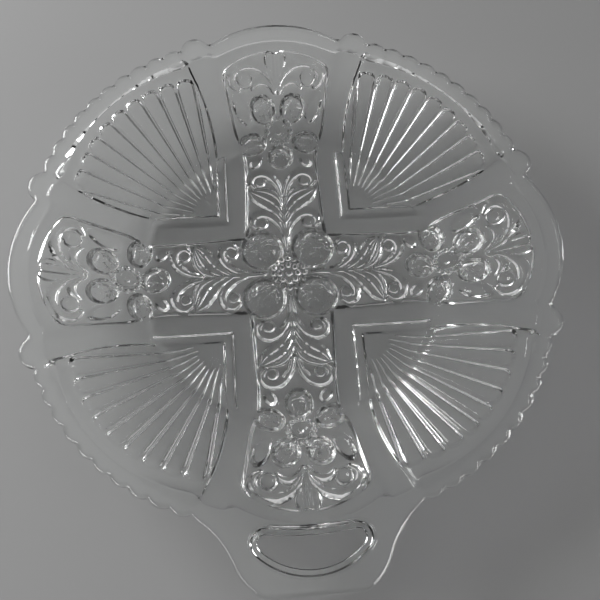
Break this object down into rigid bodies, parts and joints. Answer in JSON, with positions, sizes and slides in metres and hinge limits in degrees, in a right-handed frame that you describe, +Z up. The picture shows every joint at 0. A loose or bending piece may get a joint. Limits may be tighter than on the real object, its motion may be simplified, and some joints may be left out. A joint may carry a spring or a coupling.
{
  "type": "bread and butter plate",
  "caption": "Round pressed glass plate with a shallow dish, a cross of flowers and fluted fans in relief underneath, a scalloped rim with knobs, and a tab handle with a finger hole.",
  "frame": {"origin": "middle of the well's flat underside, on the axis of the dish, in the plane that the plate rests on", "axes": "+Z up along the axis of the dish, -Y towards the tab handle, +X to the right seen from the handle"},
  "size_m": [0.168, 0.181, 0.0207],
  "materials": {
    "clear_glass": "clear fire-polished pressed glass"
  },
  "bodies": {
    "root": {"well": "clear_glass", "handle": "clear_glass", "centre_flower": "clear_glass", "stem_back": "clear_glass", "stem_left": "clear_glass", "stem_front": "clear_glass", "stem_right": "clear_glass", "flower_back": "clear_glass", "flower_left": "clear_glass", "flower_front": "clear_glass", "flower_right": "clear_glass", "palmette_back": "clear_glass", "palmette_left": "clear_glass", "palmette_front": "clear_glass", "palmette_right": "clear_glass", "arm_wall_back": "clear_glass", "arm_wall_left": "clear_glass", "arm_wall_front": "clear_glass", "arm_wall_right": "clear_glass", "band_back_a": "clear_glass", "band_left_a": "clear_glass", "band_front_a": "clear_glass", "band_right_a": "clear_glass", "band_back_b": "clear_glass", "band_left_b": "clear_glass", "band_front_b": "clear_glass", "band_right_b": "clear_glass", "fan_back_right": "clear_glass", "fan_back_left": "clear_glass", "fan_front_left": "clear_glass", "fan_front_right": "clear_glass"}
  },
  "joints": []
}
